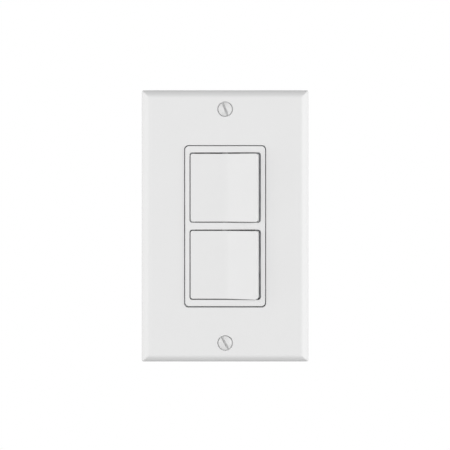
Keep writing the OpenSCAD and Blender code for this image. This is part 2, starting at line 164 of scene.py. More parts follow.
def ring(half_w, half_h, r, depth, stops=()):
    """A rounded rectangle round Y, anticlockwise from the right. Depth is a number or a rule on x, and the
    stops are extra points along its top and bottom."""
    flat = []
    for sx, sz, start in ((1, 1, 0), (-1, 1, 90), (-1, -1, 180), (1, -1, 270)):
        for k in range(ARC_STEPS + 1):
            a = math.radians(start + 90 * k / ARC_STEPS)
            flat.append((sx * (half_w - r) + r * math.cos(a), sz * (half_h - r) + r * math.sin(a)))
        if start == 0:
            flat += [(x, half_h) for x in reversed(stops)]
        if start == 180:
            flat += [(x, -half_h) for x in stops]
    rule = depth if callable(depth) else (lambda x: depth)
    return [Vector((x, rule(x), z)) for x, z in flat]


def loft(name, rings, ends):
    """Skins rings of equal length. The ends are "flat", "strips" that join top to bottom, or a "loop"."""
    bm = bmesh.new()
    rows = [[bm.verts.new(point) for point in points] for points in rings]
    n = len(rows[0])
    for near, far in zip(rows, rows[1:] + ([rows[0]] if ends == "loop" else [])):
        for i in range(n):
            j = (i + 1) % n
            bm.faces.new((near[i], near[j], far[j], far[i]))
    for row in (rows[0], rows[-1]) if ends != "loop" else ():
        if ends == "flat":
            bm.faces.new(row)
        else:
            for i in range(n // 2 - 1):
                bm.faces.new((row[i], row[i + 1], row[n - 2 - i], row[n - 1 - i]))
    return object_from(name, bm)


def turned(name, profile, place=Matrix(), sides=TURNS):
    """A turned solid: (radius, distance) pairs, from axis to axis, swung round Z and then placed."""
    bm = bmesh.new()
    rows = []
    for r, along in profile:
        angles = [math.tau * k / sides for k in range(sides)] if r else [0]
        rows.append([bm.verts.new((r * math.cos(a), r * math.sin(a), along)) for a in angles])
    for near, far in zip(rows, rows[1:]):
        for i in range(sides):
            j = (i + 1) % sides
            corners = (near[i % len(near)], near[j % len(near)], far[j % len(far)], far[i % len(far)])
            bm.faces.new(list(dict.fromkeys(corners)))
    made = object_from(name, bm)
    made.data.transform(place)
    if place.determinant() < 0:  # mirrored, so its faces point inwards
        made.data.flip_normals()
    return made


def block(name, low, high, place=Matrix()):
    """A box from one corner to the other, which can come in either order, and then placed."""
    bm = bmesh.new()
    bmesh.ops.create_cube(bm, size=1)
    low, high = Vector(low), Vector(high)
    size = Vector(abs(length) for length in high - low)
    bmesh.ops.transform(bm, verts=bm.verts, matrix=Matrix.LocRotScale((low + high) / 2, None, size))
    made = object_from(name, bm)
    made.data.transform(place)
    return made


def arc(r, steps, start=0, end=90):
    """Points round a circle's arc, as (cosine, sine) pairs times its radius."""
    angles = [math.radians(start + (end - start) * k / steps) for k in range(steps + 1)]
    return [(r * math.cos(a), r * math.sin(a)) for a in angles]


def bake(obj):
    """Turns an object's modifiers into plain mesh."""
    depsgraph = bpy.context.evaluated_depsgraph_get()
    mesh = bpy.data.meshes.new_from_object(obj.evaluated_get(depsgraph), depsgraph=depsgraph)
    obj.modifiers.clear()
    obj.data = mesh
    return obj


def welded(obj):
    """Drops the edges and faces of no size that a boolean or a bevel leaves."""
    bm = bmesh.new()
    bm.from_mesh(obj.data)
    bmesh.ops.dissolve_degenerate(bm, dist=WELD, edges=bm.edges)
    bm.to_mesh(obj.data)
    bm.free()
    return obj


def combine(obj, add=(), cut=()):
    """Adds solids to an object, and then cuts others from it, exactly and one at a time."""
    for operation, tools in (("UNION", add), ("DIFFERENCE", cut)):
        for tool in tools:
            step = obj.modifiers.new(operation, "BOOLEAN")
            step.operation, step.object, step.solver = operation, tool, "EXACT"
            welded(bake(obj))
            bpy.data.objects.remove(tool)
    return obj


def ease_edges(obj, width):
    """Breaks an object's edges, as tumbling, moulding or stamping leaves them."""
    bevel = obj.modifiers.new("edges", "BEVEL")
    bevel.width, bevel.segments, bevel.limit_method = width, 2, "ANGLE"
    bevel.angle_limit = EASED_FOLD
    return welded(bake(obj))


def eased_copy(node, width):
    """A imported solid's copy, with its flat faces made whole and its edges eased."""
    bm = bmesh.new()
    bm.from_mesh(frame["nodes"][node].data)
    bmesh.ops.scale(bm, vec=(1 / MM,) * 3, verts=bm.verts)
    bmesh.ops.remove_doubles(bm, verts=bm.verts, dist=FLAT_WELD)
    bmesh.ops.dissolve_limit(bm, angle_limit=math.radians(0.5), verts=bm.verts, edges=bm.edges)
    return ease_edges(object_from(node, bm), width)


def hand_over(obj, name, node, finish, faces=None):
    """Finishes a piece: its shading, its real size, its material, and the body it rides on. Faces is a second
    finish and a rule on a face's middle, in millimetres, that says where it goes."""
    obj.data.shade_smooth()
    obj.data.set_sharp_from_angle(angle=CRISP_FOLD)
    weighted = obj.modifiers.new("normals", "WEIGHTED_NORMAL")
    weighted.keep_sharp = True
    bake(obj)
    obj.data.materials.clear()
    obj.data.materials.append(MATERIALS[finish])
    obj.data.polygons.foreach_set("material_index", [0] * len(obj.data.polygons))
    if faces:
        obj.data.materials.append(MATERIALS[faces[0]])
        for face in obj.data.polygons:
            face.material_index = int(faces[1](face.center))
    obj.data.transform(Matrix.Scale(MM, 4))
    obj.name = obj.data.name = name
    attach(obj, frame["nodes"][node]["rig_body"])
    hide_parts(node)


def add(tree, kind, settings=None, links=None):
    """Adds a node, with its settings and the sockets or values that feed it."""
    made = tree.nodes.new(kind)
    for name, value in (settings or {}).items():
        setattr(made, name, value)
    for key, source in (links or {}).items():
        if isinstance(source, bpy.types.NodeSocket):
            tree.links.new(source, made.inputs[key])
        else:
            made.inputs[key].default_value = source
    return made


# Materials --------------------------------------------------------------------------------------


def linear(colour):
    """An sRGB hex colour as linear RGBA."""
    parts = [int(colour[k : k + 2], 16) / 255 for k in (0, 2, 4)]
    return (*(c / 12.92 if c <= 0.04045 else ((c + 0.055) / 1.055) ** 2.4 for c in parts), 1.0)


def finish_of(name, light, dark, rough, patch_mm, grain_mm, grain_um, stretch=(1, 1, 1), **sockets):
    """A finish: two close colours in soft patches, roughness that varies with them, and a fine grain in
    relief. Stretch draws the grain out along an axis, as rolling and drawing do."""
    made = bpy.data.materials.new(name)
    made.use_nodes = True
    tree = made.node_tree
    tree.nodes.clear()
    place = add(tree, "ShaderNodeTexCoord").outputs["Object"]
    drawn = add(tree, "ShaderNodeMapping", links={"Vector": place, "Scale": stretch}).outputs[0]
    patches, grain = (
        add(tree, "ShaderNodeTexNoise", links={"Vector": where, "Scale": 1 / (size * MM), "Detail": detail})
        for where, size, detail in ((place, patch_mm, 3.0), (drawn, grain_mm, 4.0))
    )
    # The patches, and two fifths of the grain round its middle
    mixed = add(tree, "ShaderNodeMath", {"operation": "MULTIPLY_ADD"}, {0: grain.outputs[0], 1: 0.4, 2: -0.2})
    share = add(tree, "ShaderNodeMath", {"operation": "ADD"}, {0: patches.outputs[0], 1: mixed.outputs[0]})
    middle = {"Value": share.outputs[0], "From Min": 0.3, "From Max": 0.7}
    spread = add(tree, "ShaderNodeMapRange", links=middle)
    colour = add(
        tree,
        "ShaderNodeMix",
        {"data_type": "RGBA"},
        {0: spread.outputs[0], 6: linear(dark), 7: linear(light)},
    )
    roughness = add(
        tree, "ShaderNodeMapRange", links={**middle, "To Min": rough[1], "To Max": rough[0]}
    )
    relief = add(tree, "ShaderNodeBump", links={"Height": grain.outputs[0], "Distance": grain_um * MM * MM})
    shader = add(
        tree,
        "ShaderNodeBsdfPrincipled",
        links={
            "Base Color": colour.outputs[2],
            "Roughness": roughness.outputs[0],
            "Normal": relief.outputs[0],
            **sockets,
        },
    )
    add(tree, "ShaderNodeOutputMaterial", links={"Surface": shader.outputs[0]})
    return made


METAL = {"Metallic": 1.0}
ROLLED = (1, 1, 0.06)  # grain drawn out along the strip, which runs up and down
MATERIALS = {
    # Nylon moulded in a polished tool: clean white, a soft sheen with a faint orange peel
    "plate_plastic": finish_of(
        "gloss_moulded_nylon", "E6E6E6", "E5E5E5", (0.23, 0.27), 18, 0.9, 5, IOR=1.53
    ),
    # ABS with a finer polish than the plate's, and the same white
    "rocker_plastic": finish_of(
        "gloss_moulded_abs", "E6E6E6", "E5E5E5", (0.18, 0.21), 12, 0.7, 4, IOR=1.54
    ),
    # Stoved enamel on a steel head: the white is a shade greyer, and pools slightly
    "screw_enamel": finish_of(
        "stoved_white_enamel", "E5E5E5", "DADADA", (0.22, 0.34), 1.6, 0.5, 6, IOR=1.52
    ),
    # Zinc plate on pressed strip: cool grey, with the steel's rolling lines showing through
    "zinc_steel": finish_of(
        "zinc_plated_strip", "C9CBCF", "A9ACB1", (0.30, 0.46), 5, 0.25, 5, ROLLED, **METAL
    ),
    # Zinc plate on a turned and rolled screw: brighter, with small cloudy patches
    "zinc_screw": finish_of("bright_zinc_plate", "D2D3D6", "AEB0B5", (0.24, 0.40), 1.2, 0.2, 3, **METAL),
    # Vulcanised fibre: grey-brown board, dry, with pressed fibres
    "fibre": finish_of("vulcanised_fibre", "A08568", "755B41", (0.70, 0.88), 1.5, 0.22, 25, (1, 1, 0.4)),
    # Urea compound, pressed: near black, with an even satin skin and fine filler grain
    "housing_plastic": finish_of(
        "pressed_dark_thermoset", "2C2E31", "27292C", (0.42, 0.52), 9, 0.35, 7, IOR=1.58
    ),
    # Green dye over zinc: a clear deep green with metal under it
    "green_enamel": finish_of("green_dyed_zinc", "2F8A4B", "1C6233", (0.28, 0.42), 1.5, 0.25, 4, **METAL),
    # Stamped strip brass: warm satin yellow with long rolling lines and a little tarnish
    "brass_strip": finish_of(
        "rolled_brass_strip", "D9B668", "B58E45", (0.26, 0.42), 3.5, 0.2, 4, ROLLED, **METAL
    ),
    # Black oxide on steel: dark brown-grey, oily satin
    "black_screw": finish_of("black_oxide", "3C3937", "232120", (0.34, 0.50), 1.2, 0.2, 4, **METAL),
    # Brass plate on a screw: brighter and cleaner than the strip
    "brass_screw": finish_of("bright_brass_plate", "E6C775", "C9A24E", (0.18, 0.30), 1.5, 0.2, 3, **METAL),
    # Silver alloy, headed cold: pale and warm, with a soft bloom
    "silver_contact": finish_of("silver_alloy", "E8E5DE", "C6C2B8", (0.22, 0.38), 0.8, 0.15, 3, **METAL),
    # Drawn spring wire: mid grey with a tight bright sheen, and a faint grain where the die lines would be
    "spring_steel": finish_of("drawn_spring_wire", "B4B5B8", "85878B", (0.26, 0.38), 0.8, 0.12, 2, **METAL),
    # Natural acetal: waxy cream, with a dull even sheen
    "plunger_acetal": finish_of(
        "natural_acetal", "EDE8DA", "E2DCCB", (0.34, 0.44), 1.5, 0.3, 3, IOR=1.48
    ),
    # Phosphor bronze strip: reddish, rolled, a little darker where it has been handled
    "arm_copper": finish_of(
        "rolled_phosphor_bronze", "CF9468", "A56A42", (0.26, 0.42), 2.5, 0.2, 4, (0.06, 1, 1), **METAL
    ),
    # Painted board far below the object: matt and even, with a faint glow that keeps it pale
    "floor": finish_of(
        "pale_painted_board", "F6F6F5", "F4F4F4", (0.76, 0.82), 400, 3, 4,
        **{"Emission Color": (1, 1, 1, 1), "Emission Strength": 0.25},
    ),
}


# What Geometry Nodes grow -----------------------------------------------------------------------


def geometry_tree(name, **inputs):
    """A tree that takes points, one for each place, and the named sizes, and gives plain geometry."""
    tree = bpy.data.node_groups.new(name, "GeometryNodeTree")
    tree.interface.new_socket("Places", in_out="INPUT", socket_type="NodeSocketGeometry")
    tree.interface.new_socket("Solids", in_out="OUTPUT", socket_type="NodeSocketGeometry")
    for label, kind in {**inputs, "Finish": "Material"}.items():
        socket = "NodeSocket" + kind
        tree.interface.new_socket(label.replace("_", " "), in_out="INPUT", socket_type=socket)
    return tree, add(tree, "NodeGroupInput").outputs


def end_tree(tree, given, solid, facing=None):
    """Puts the solid at each place, facing along the piece and turned by the place's own turn, made real."""
    turn = add(tree, "GeometryNodeInputNamedAttribute", {"data_type": "FLOAT"}, {"Name": "turn"})
    spin = add(tree, "ShaderNodeCombineXYZ", links={"Z": turn.outputs[0]})
    placed = add(
        tree,
        "GeometryNodeInstanceOnPoints",
        links={"Points": given["Places"], "Instance": solid, **({"Rotation": facing} if facing else {})},
    )
    turned_round = add(
        tree,
        "GeometryNodeRotateInstances",
        links={"Instances": placed.outputs[0], "Rotation": spin.outputs[0], "Local Space": True},
    )
    real = add(tree, "GeometryNodeRealizeInstances", links={"Geometry": turned_round.outputs[0]})
    dressed = add(
        tree, "GeometryNodeSetMaterial", links={"Geometry": real.outputs[0], "Material": given["Finish"]}
    )
    add(tree, "NodeGroupOutput", links={"Solids": dressed.outputs[0]})
    return tree


def rolled_screw_tree():
    """Screws: a turned blank with a thread rolled on it. The ridge fades in and out at its two ends."""
    tree, given = geometry_tree(
        "rolled_screws",
        Blank="Object",
        Root_radius="Float",
        Thread_radius="Float",
        Pitch="Float",
        Thread_start="Float",
        Thread_length="Float",
        Facing="Rotation",
    )

    def maths(operation, a, b):
        return add(tree, "ShaderNodeMath", {"operation": operation}, {0: a, 1: b}).outputs[0]

    depth = maths("SUBTRACT", given["Thread radius"], given["Root radius"])
    middle = maths("MULTIPLY", maths("ADD", given["Thread radius"], given["Root radius"]), 0.5)
    helix = add(
        tree,
        "GeometryNodeCurveSpiral",
        links={
            "Resolution": 26,
            "Rotations": maths("DIVIDE", given["Thread length"], given["Pitch"]),
            "Start Radius": middle,
            "End Radius": middle,
            "Height": given["Thread length"],
            "Reverse": True,
        },
    )
    upright = add(tree, "GeometryNodeSetCurveNormal", {"mode": "Z_UP"}, {"Curve": helix.outputs[0]})
    flank = add(
        tree,
        "GeometryNodeCurvePrimitiveQuadrilateral",
        {"mode": "TRAPEZOID"},
        {
            "Height": maths("MULTIPLY", depth, 1.02),
            "Bottom Width": maths("MULTIPLY", given["Pitch"], 0.86),
            "Top Width": maths("MULTIPLY", given["Pitch"], 0.14),
            "Offset": 0.0,
        },
    )
    outwards = add(
        tree,
        "GeometryNodeTransform",
        links={"Geometry": flank.outputs[0], "Rotation": (0, 0, math.radians(-90))},
    )
    # The ridge is full from a twentieth of its length to nineteen twentieths
    along = add(tree, "GeometryNodeSplineParameter").outputs["Factor"]
    from_end = maths("MINIMUM", along, maths("SUBTRACT", 1.0, along))
    fade = add(
        tree,
        "ShaderNodeMapRange",
        links={"Value": from_end, "From Min": 0.0, "From Max": 0.05, "To Min": 0.12, "To Max": 1.0},
    )
    ridge = add(
        tree,
        "GeometryNodeCurveToMesh",
        links={
            "Curve": upright.outputs[0],
            "Profile Curve": outwards.outputs[0],
            "Scale": fade.outputs[0],
            "Fill Caps": True,
        },
    )
    start = add(tree, "ShaderNodeCombineXYZ", links={"Z": given["Thread start"]})
    set_back = add(
        tree, "GeometryNodeTransform", links={"Geometry": ridge.outputs[0], "Translation": start.outputs[0]}
    )
    blank = add(tree, "GeometryNodeObjectInfo", links={"Object": given["Blank"]})
    whole = add(tree, "GeometryNodeJoinGeometry")
    for part in (blank.outputs["Geometry"], set_back.outputs[0]):
        tree.links.new(part, whole.inputs[0])
    one = add(tree, "GeometryNodeGeometryToInstance", links={"Geometry": whole.outputs[0]})
    return end_tree(tree, given, one.outputs[0], given["Facing"])


def coil_spring_tree():
    """Compression springs: round wire whose first and last coils lie closed against the next."""
    tree, given = geometry_tree(
        "coil_springs",
        Coil_radius="Float",
        Wire_radius="Float",
        Coils="Float",
        Length="Float",
        Facing="Rotation",
    )
    helix = add(
        tree,
        "GeometryNodeCurveSpiral",
        links={
            "Resolution": 30,
            "Rotations": given["Coils"],
            "Start Radius": given["Coil radius"],
            "End Radius": given["Coil radius"],
            "Height": 0.0,
            "Reverse": True,
        },
    )
    along = add(tree, "GeometryNodeSplineParameter").outputs["Factor"]
    # A smooth step flattens the pitch at both ends. Mixing in some even pitch keeps the coils apart
    eased = add(
        tree,
        "ShaderNodeMapRange",
        {"interpolation_type": "SMOOTHSTEP"},
        {"Value": along, "To Max": 0.75},
    )
    risen = add(
        tree, "ShaderNodeMath", {"operation": "MULTIPLY_ADD"}, {0: along, 1: 0.25, 2: eased.outputs[0]}
    )
    height = add(
        tree, "ShaderNodeMath", {"operation": "MULTIPLY"}, {0: risen.outputs[0], 1: given["Length"]}
    )
    lift = add(tree, "ShaderNodeCombineXYZ", links={"Z": height.outputs[0]})
    wound = add(
        tree, "GeometryNodeSetPosition", links={"Geometry": helix.outputs[0], "Offset": lift.outputs[0]}
    )
    wire = add(
        tree, "GeometryNodeCurvePrimitiveCircle", links={"Resolution": 12, "Radius": given["Wire radius"]}
    )
    drawn = add(
        tree,
        "GeometryNodeCurveToMesh",
        links={"Curve": wound.outputs[0], "Profile Curve": wire.outputs[0], "Fill Caps": True},
    )
    one = add(tree, "GeometryNodeGeometryToInstance", links={"Geometry": drawn.outputs[0]})
    return end_tree(tree, given, one.outputs[0], given["Facing"])


def rib_tree():
    """Stiffening ribs inside a moulding: the same bar at each place."""
    tree, given = geometry_tree("ribs", Rib_size="Vector", Facing="Rotation")
    bar = add(tree, "GeometryNodeMeshCube", links={"Size": given["Rib size"]})
    one = add(tree, "GeometryNodeGeometryToInstance", links={"Geometry": bar.outputs[0]})
    return end_tree(tree, given, one.outputs[0], given["Facing"])


def grown(tree, places, finish, **inputs):
    """Runs a tree on a point for each place, (x, y, z) with an optional turn in degrees, and bakes it."""
    mesh = bpy.data.meshes.new(tree.name)
    mesh.from_pydata([place[:3] for place in places], [], [])
    turns = [math.radians(place[3]) if len(place) > 3 else 0.0 for place in places]
    mesh.attributes.new("turn", "FLOAT", "POINT").data.foreach_set("value", turns)
    made = new_object(tree.name, mesh)
    modifier = made.modifiers.new(tree.name, "NODES")
    modifier.node_group = tree
    sockets = {s.name: s.identifier for s in tree.interface.items_tree if s.in_out == "INPUT"}
    for label, value in {**inputs, "Finish": MATERIALS[finish]}.items():
        modifier[sockets[label.replace("_", " ")]] = value
    return bake(made)


def facing(matrix):
    return tuple(matrix.to_euler())


SCREWS, SPRINGS, RIBS = rolled_screw_tree(), coil_spring_tree(), rib_tree()


# Wall plate and bezel ---------------------------------------------------------------------------


def rolled_edge():
    """The rolled edge's line, as (outwards, backwards) pairs from where the face ends. A small arc leads into
    a large one, and both touch."""
    reach = ROLL_R - SHOULDER_R
    centre = math.sqrt(reach**2 - (ROLL_R * math.cos(ROLL_START) - SHOULDER_R) ** 2)
    lead = centre - ROLL_R * math.sin(ROLL_START)
    meet = math.asin(centre / reach)
    line = []
    for k in range(7):
        a = meet * k / 6
        line.append((lead + SHOULDER_R * math.sin(a), SHOULDER_R * (1 - math.cos(a))))
    for k in range(1, 13):
        a = meet + (ROLL_END - meet) * k / 12
        line.append(
            (ROLL_R * (math.sin(a) - math.sin(ROLL_START)), ROLL_R * (math.cos(ROLL_START) - math.cos(a)))
        )
    return line


def wall_plate():
    """One skin, from the opening's collar over the face and the rolled edge into the hollow back."""
    rings = [ring(OPENING_W, OPENING_H, OPENING_R, COLLAR_Y)]
    for c, s in arc(OPENING_LIP, 5):
        grow = OPENING_LIP - c
        rings.append(ring(OPENING_W + grow, OPENING_H + grow, OPENING_R + grow, PLATE_FACE + OPENING_LIP - s))
    for out, back in rolled_edge():
        inset = ROLL_W - out
        r = MITRE_R + (PLATE_CORNER_R - MITRE_R) * (out / ROLL_W) ** 2 if out > 0 else MITRE_R
        rings.append(ring(PLATE_W - inset, PLATE_H - inset, r, PLATE_FACE + back))
    for c, s in arc(RIM_R, 4):  # the back rim's outer edge
        inset = RIM_R - c
        rings.append(ring(PLATE_W - inset, PLATE_H - inset, PLATE_CORNER_R, s - RIM_R))
    rings.append(ring(CAVITY_W + CAVITY_LIP, CAVITY_H + CAVITY_LIP, CAVITY_R + CAVITY_LIP, 0))
    rings.append(ring(CAVITY_W, CAVITY_H, CAVITY_R, -CAVITY_LIP))
    for c, s in arc(CAVITY_FILLET, 4):  # the cavity's rounded inner corner
        inset = CAVITY_FILLET - c
        rings.append(ring(CAVITY_W - inset, CAVITY_H - inset, CAVITY_R, CAVITY_Y + CAVITY_FILLET - s))
    collar_r = OPENING_R + COLLAR
    for y in (CAVITY_Y, COLLAR_Y):
        rings.append(ring(OPENING_W + COLLAR, OPENING_H + COLLAR, collar_r, y))
    plate = loft("plate", rings, "loop")

    ribs = grown(
        RIBS,
        [(s * sum(RIB_X) / 2, sum(RIB_Y) / 2, z) for s in (-1, 1) for z in RIB_ZS],
        "plate_plastic",
        Rib_size=(RIB_X[1] - RIB_X[0], RIB_Y[1] - RIB_Y[0], RIB_THICK),
    )
    at_screws = [Matrix.Translation((0, 0, s * PLATE_SCREW_Z)) @ INTO_WALL for s in (-1, 1)]
    boss = [(0, RIB_Y[0]), (BOSS_R, RIB_Y[0]), (BOSS_R, BOSS_TOP - BOSS_EASE)]
    boss += [(BOSS_R - BOSS_EASE, BOSS_TOP), (0, BOSS_TOP)]
    combine(plate, add=[ribs, *(turned("boss", boss, at) for at in at_screws)])
    plate.data.transform(Matrix.Translation((0, 0, PLATE_Z)))
    # Countersunk holes, with a straight rim and a lip that rolls over into the face
    sink = [(0, 1), (HOLE_R, 1), (HOLE_R, PLATE_FACE + SINK_Y), (SINK_R, PLATE_FACE + SINK_RIM_Y)]
    sink += [(SINK_R, PLATE_FACE + HOLE_LIP), (SINK_R + HOLE_LIP, PLATE_FACE)]
    sink += [(SINK_R + HOLE_LIP, PLATE_FACE - 1), (0, PLATE_FACE - 1)]
    combine(plate, cut=[turned("hole", sink, at) for at in at_screws])
    hand_over(plate, "moulded_wall_plate", "wall_plate", "plate_plastic")


def window_half_w(y):
    """Half the width of a rocker's window, whose sides curve round the pivot."""
    return math.sqrt(WINDOW_R**2 - (y - PIVOT_Y) ** 2)


def window(side):
    """The space that a rocker moves in, with a flare at the bezel's face that leaves a rounded lip."""
    rings = [ring(WINDOW_R, WINDOW_H, WINDOW_CORNER, y) for y in (2.0, PIVOT_Y)]
    for k in range(1, 8):
        y = PIVOT_Y + (BEZEL_FACE + WINDOW_LIP - PIVOT_Y) * k / 7
        rings.append(ring(window_half_w(y), WINDOW_H, WINDOW_CORNER, y))
    at_face = window_half_w(BEZEL_FACE + WINDOW_LIP)
    for c, s in arc(WINDOW_LIP, 5)[1:]:
        grow = WINDOW_LIP - c
        y = BEZEL_FACE + WINDOW_LIP - s
        rings.append(ring(at_face + grow, WINDOW_H + grow, WINDOW_CORNER + grow, y))
    flared = (at_face + WINDOW_LIP, WINDOW_H + WINDOW_LIP, WINDOW_CORNER + WINDOW_LIP)
    rings.append(ring(*flared, BEZEL_FACE - 1))
    made = loft("window", rings, "flat")
    made.data.transform(Matrix.Translation((0, 0, side * ROCKER_Z)))
    return made


def bezel():
    """A frame with two windows, over a block that holds the rockers' pins."""
    rings = [ring(BEZEL_W, BEZEL_H, BEZEL_R, PIVOT_Y)]
    for c, s in arc(BEZEL_LIP, 5):
        inset = BEZEL_LIP - c
        rings.append(ring(BEZEL_W - inset, BEZEL_H - inset, BEZEL_R - inset, BEZEL_FACE + BEZEL_LIP - s))
    body = loft("bezel", rings, "flat")
    low, high = (-BEARING_HALF_W, PIVOT_Y - 0.5, 0.05 - BEZEL_H), (BEARING_HALF_W, BEARING_Y, BEZEL_H - 0.05)
    bearing = block("bearing", low, high)
    cuts = [window(side) for side in (-1, 1)]
    reach = ROCKER_H + SEAT_H
    for side in (-1, 1):
        at = Matrix.Translation((0, PIVOT_Y, side * ROCKER_Z))
        cuts.append(turned("seat", [(0, -reach), (SEAT_R, -reach), (SEAT_R, reach), (0, reach)], at))
        cuts.append(block("slot", (-SEAT_R, 0, -reach), (SEAT_R, 4, reach), at))
    hole = [(0, -4.7), (HOUSING_HOLE_R, -4.7), (HOUSING_HOLE_R, 0), (0, 0)]
    for x, z in SCREW_CORNERS:
        cuts.append(turned("hole", hole, Matrix.Translation((x, 0, z)) @ INTO_WALL, 24))
    combine(body, add=[bearing], cut=cuts)
    hand_over(body, "moulded_bezel", "bezel", "rocker_plastic")


# Rockers ----------------------------------------------------------------------------------------


def folded(x):
    """Depth of a rocker's face, level at the fold and climbing towards both ends."""
    x = abs(x)
    rise = x if x > CREASE_HALF else (x * x + CREASE_HALF**2) / (2 * CREASE_HALF)
    return -CREASE - FOLD * rise


def end_half_w(y, inset=0.0):
    """Half the width of a rocker at a depth, where its rounded ends pass."""
    return math.sqrt((END_R - inset) ** 2 - (y + END_LEAD) ** 2)


def rocker(side):
    """A rocker in its middle position round its pivot, then tipped so that its left half lies flush."""
    stops = [CREASE_HALF * k / 6 for k in range(-6, 7)]
    corner_y = folded(CORNER_X)
    rings = []
    for c, s in reversed(arc(ROCKER_EDGE, 5)):  # the rounded edge of the face
        inset, back = ROCKER_EDGE - c, ROCKER_EDGE - s
        half_w = end_half_w(corner_y + ROCKER_EDGE) - inset
        r = max(ROCKER_CORNER - inset, 0.1)
        rings.append(ring(half_w, ROCKER_H - inset, r, lambda x, back=back: folded(x) + back, stops))
    for k in range(1, 7):  # the rounded ends and the flat top and bottom
        t = k / 6
        y = (corner_y + ROCKER_EDGE) * (1 - t) + SKIRT_Y * t
        rule = lambda x, t=t: (folded(x) + ROCKER_EDGE) * (1 - t) + SKIRT_Y * t
        rings.append(ring(end_half_w(y), ROCKER_H, ROCKER_CORNER, rule, stops))
    inner_h = ROCKER_H - ROCKER_WALL
    for t in (0, 0.3, 0.65, 1):  # the hollow back
        y = SKIRT_Y * (1 - t) + (corner_y + ROCKER_WALL) * t
        rule = lambda x, t=t: SKIRT_Y * (1 - t) + (folded(x) + ROCKER_WALL) * t
        rings.append(ring(end_half_w(y, ROCKER_WALL), inner_h, 0.4, rule, stops))
    body = loft("rocker", rings, "strips")

    low, high, tip = inner_h - BURIED, ROCKER_H - SHY, ROCKER_H + PIN_REACH
    ear = [(0, low), (EAR_R, low), (EAR_R, high), (0, high)]
    pin = [(0, inner_h), (PIN_R, inner_h), (PIN_R, tip - PIN_EASE), (PIN_R - PIN_EASE, tip), (0, tip)]
    rib_reach, rib_half = (2.8, 13.2), 0.6
    additions = []
    for s in (-1, 1):
        mirror = Matrix.Scale(s, 4, (0, 0, 1))
        near, far = (s * end for end in rib_reach)
        additions += [
            turned("ear", ear, mirror),
            turned("pin", pin, mirror),
            block("ear", (-EAR_R, SKIRT_Y - 1, s * low), (EAR_R, 0, s * high)),
            block("rib", (-rib_half, -4, near), (rib_half, SKIRT_Y - BURIED, far)),
            block("rib", (near, -4.9, -rib_half), (far, -2.2, rib_half)),
        ]
    post = [(0, POST_START), (POST_R, POST_START), (POST_R, POST_END - 0.2)]
    post += [(POST_R - 0.2, POST_END), (0, POST_END)]
    additions.append(turned("post", post, INTO_WALL))
    bore = [(0, BORE_START), (BORE_R, BORE_START), (BORE_R, POST_END - 0.15), (BORE_R + 0.15, POST_END)]
    bore += [(BORE_R + 0.15, POST_END + 1), (0, POST_END + 1)]
    combine(body, add=additions, cut=[turned("bore", bore, INTO_WALL)])
    body.data.transform(tipped(side))
    name = "upper" if side > 0 else "lower"
    hand_over(body, f"moulded_{name}_rocker", f"{name}_rocker", "rocker_plastic")


def tipped(side):
    """Moves a rocker's parts from its middle position at the origin to where they rest."""
    at = (0, PIVOT_Y, side * ROCKER_Z - ROCKER_DROPS[side])
    return Matrix.Translation(at) @ Matrix.Rotation(-HALF_SWING, 4, "Z")


def rocker_spring(side):
    """The spring in a rocker's post, behind its plunger."""
    spring = grown(
        SPRINGS,
        [(0, -2.15, 0)],
        "spring_steel",
        Coil_radius=1.55,
        Wire_radius=0.2,
        Coils=7.0,
        Length=3.9,
        Facing=facing(INTO_WALL),
    )
    spring.data.transform(tipped(side))
    name = "upper" if side > 0 else "lower"
    hand_over(spring, f"wound_{name}_spring", f"{name}_spring", "spring_steel")


# Screws -----------------------------------------------------------------------------------------


def slotted(blank, bottom, width=1.1, reach=5.0):
    """Cuts a driver's slot along the blank's own Y, down to a depth, and breaks the head's edges."""
    combine(blank, cut=[block("slot", (-width / 2, -reach, -30), (width / 2, reach, bottom))])
    return ease_edges(blank, 0.07)


def screws(name, node, finish, blank, places, thread, start, length, axis, faces=None):
    """Grows the screws of a node: one blank at each place, threaded from start over length along the axis."""
    root, crest, pitch = thread
    made = grown(
        SCREWS, places, finish, Blank=blank, Root_radius=root, Thread_radius=crest, Pitch=pitch,
        Thread_start=start, Thread_length=length, Facing=facing(axis),
    )
    bpy.data.objects.remove(blank)
    hand_over(made, name, node, finish, faces)


def domed(top, dome_r, reach):
    """The dome of a head, as (radius, distance) pairs from its middle outwards."""
    radii = [reach * k / 7 for k in range(8)]
    return [(r, top + dome_r - math.sqrt(dome_r**2 - r * r)) for r in radii]


def plate_screws():
    """Oval heads that sit in the plate's countersinks, white on the head and zinc below it."""
    root, crest, _ = NO_6
    head_r, rise, dome_r, under_head, tip = 2.83, 0.8, 5.406, -4.1, 7.2
    profile = domed(PLATE_FACE - rise, dome_r, head_r - 0.05)
    profile += [(head_r, PLATE_FACE + 0.02), (head_r, PLATE_FACE + 0.4), (crest, under_head), (crest, -3.6)]
    profile += [(root, -3.4), (root, tip - 0.5), (1.0, tip), (0, tip)]
    blank = slotted(turned("blank", profile), PLATE_FACE + 0.6, 0.95)
    screws(
        "oval_head_plate_screws", "plate_screws", "screw_enamel", blank,
        [(0, 0, PLATE_SCREW_Z, -21), (0, 0, -PLATE_SCREW_Z, -29)],
        NO_6, -3.6, 10.2, INTO_WALL,
        ("zinc_screw", lambda middle: middle.y > under_head - 0.15),
    )


